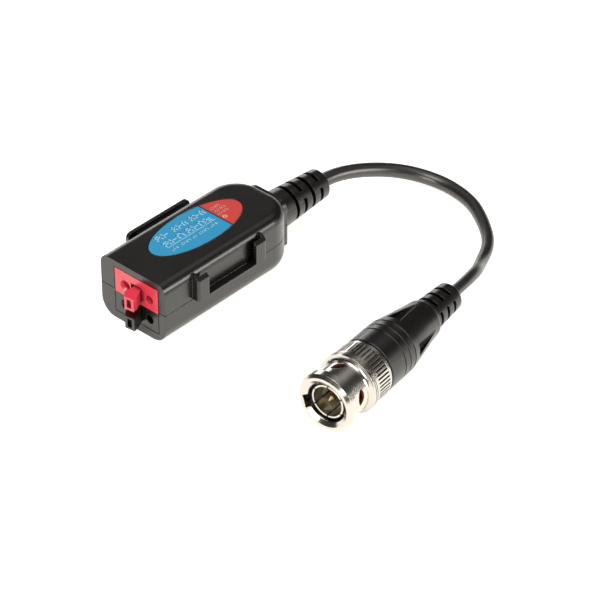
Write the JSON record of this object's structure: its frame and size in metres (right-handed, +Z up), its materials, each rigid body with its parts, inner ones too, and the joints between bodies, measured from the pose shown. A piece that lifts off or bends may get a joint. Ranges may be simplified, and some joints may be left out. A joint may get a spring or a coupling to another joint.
{
  "type": "cctv video balun",
  "caption": "Passive video balun with a red and a black push-lever terminal at one end and a short thin coaxial lead with a BNC plug at the other",
  "frame": {"origin": "centre of the housing's flat base", "axes": "+Y runs from the terminals to the lead's end of the housing, +Z is up, +X is towards the plug side"},
  "size_m": [0.0763, 0.0966, 0.0163],
  "materials": {
    "housing_plastic": "fine matt texture, moulded",
    "black_plastic": "smooth moulded",
    "red_plastic": "smooth moulded",
    "label_print": "printed film, satin",
    "black_rubber": "satin, moulded",
    "red_rubber": "smooth",
    "cable_jacket": "smooth extruded jacket",
    "cable_core": "foamed dielectric",
    "nickel_plate": "bright nickel plating on turned brass",
    "gold_plate": "gold plating",
    "white_insulator": "natural polymer",
    "spring_steel": "bright rolled strip",
    "tinned_metal": "tin plating",
    "board_laminate": "solder resist on glass laminate",
    "ferrite": "sintered, slightly rough",
    "enamelled_wire": "enamelled copper",
    "component_glass": "sealed body",
    "capacitor_coating": "dipped coating"
  },
  "bodies": {
    "housing": {"upper_shell": "housing_plastic", "lower_shell": "housing_plastic", "label": "label_print", "circuit_board": "board_laminate", "transformer_core": "ferrite", "transformer_winding": "enamelled_wire", "surge_diodes": "component_glass", "capacitor": "capacitor_coating", "strain_relief": "black_rubber", "housing_cable_end": "cable_jacket", "housing_cable_core": "cable_core", "cable": "cable_jacket", "plug_body": "nickel_plate", "plug_insulator": "white_insulator", "centre_pin": "gold_plate", "gasket": "red_rubber", "spring_washer": "spring_steel", "crimp_ferrule": "nickel_plate", "plug_boot": "black_rubber", "plug_cable_end": "cable_jacket", "terminal_black": "black_plastic", "terminal_red": "red_plastic", "contact_black": "tinned_metal", "contact_red": "tinned_metal", "clamp_spring_black": "spring_steel", "clamp_spring_red": "spring_steel"},
    "lever_red_arm": {"lever_red": "red_plastic"},
    "lever_black_arm": {"lever_black": "black_plastic"},
    "nut_thrust": {"thrust_ring": "spring_steel"},
    "nut": {"coupling_nut": "nickel_plate"}
  },
  "joints": [
    {"name": "red_lever_push", "type": "hinge", "parent": "housing", "child": "lever_red_arm", "pos_m": [0.00122, -0.0176, 0.01052], "axis": [0, 0, 1], "range_deg": [-12, 0], "stiffness_Nm_per_rad": 0.02, "deforming": ["clamp_spring_red"]},
    {"name": "black_lever_push", "type": "hinge", "parent": "housing", "child": "lever_black_arm", "pos_m": [0.00122, -0.0176, 0.00507], "axis": [0, 0, 1], "range_deg": [-12, 0], "stiffness_Nm_per_rad": 0.02, "deforming": ["clamp_spring_black"]},
    {"name": "nut_pull", "type": "slide", "parent": "housing", "child": "nut_thrust", "axis": [0.108, -0.9942, 0], "range_m": [0, 0.0005], "stiffness_N_per_m": 1500, "deforming": ["spring_washer"]},
    {"name": "nut_turn", "type": "hinge", "parent": "nut_thrust", "child": "nut", "pos_m": [0.05607, -0.01255, 0.00745], "axis": [-0.108, 0.9942, 0], "continuous": true}
  ]
}
